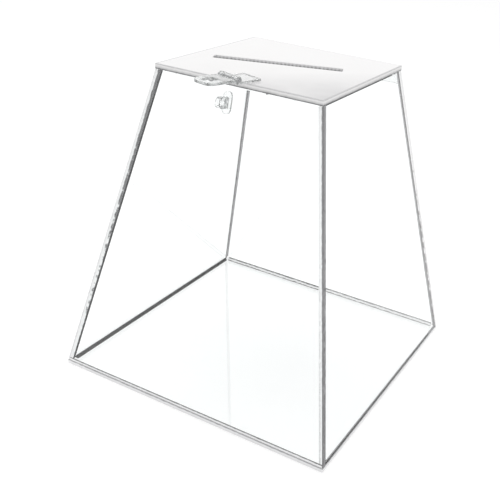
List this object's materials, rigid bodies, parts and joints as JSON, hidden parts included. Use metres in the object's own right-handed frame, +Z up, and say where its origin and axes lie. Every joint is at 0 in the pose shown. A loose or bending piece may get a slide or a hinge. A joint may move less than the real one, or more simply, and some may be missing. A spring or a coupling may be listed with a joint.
{
  "type": "donation box",
  "caption": "Clear acrylic donation box shaped as a truncated pyramid, with a hinged white lid, a slanting money slot, a hasp that folds down and a padlock staple.",
  "frame": {"origin": "centre of the base, on the surface it stands on", "axes": "+Z up; -Y towards the wall with the staple; +X to the right when facing that wall"},
  "size_m": [0.3, 0.3, 0.3231],
  "materials": {
    "clear_sheet": "clear cast acrylic sheet, polished",
    "lid_sheet": "white opal acrylic sheet, gloss",
    "clear_moulding": "clear moulded acrylic",
    "pin_steel": "drawn stainless wire"
  },
  "bodies": {
    "box": {"base_panel": "clear_sheet", "front_panel": "clear_sheet", "rear_panel": "clear_sheet", "left_panel": "clear_sheet", "right_panel": "clear_sheet", "staple": "clear_moulding", "hinge_wall_leaf_left": "clear_moulding", "hinge_wall_leaf_right": "clear_moulding", "hinge_pin_left": "pin_steel", "hinge_pin_right": "pin_steel"},
    "lid": {"lid": "lid_sheet", "hasp_lid_leaf": "clear_moulding", "hasp_pin": "pin_steel", "hinge_lid_leaf_left": "clear_moulding", "hinge_lid_leaf_right": "clear_moulding"},
    "flap": {"hasp_flap": "clear_moulding"}
  },
  "joints": [
    {"name": "lid_hinge", "type": "hinge", "parent": "box", "child": "lid", "pos_m": [0, 0.09, 0.311], "axis": [-1, 0, 0], "range_deg": [0, 195]},
    {"name": "hasp_hinge", "type": "hinge", "parent": "lid", "child": "flap", "pos_m": [-0.002, -0.092, 0.3196], "axis": [0.9613, -0.2756, 0], "range_deg": [-175, 75]}
  ]
}
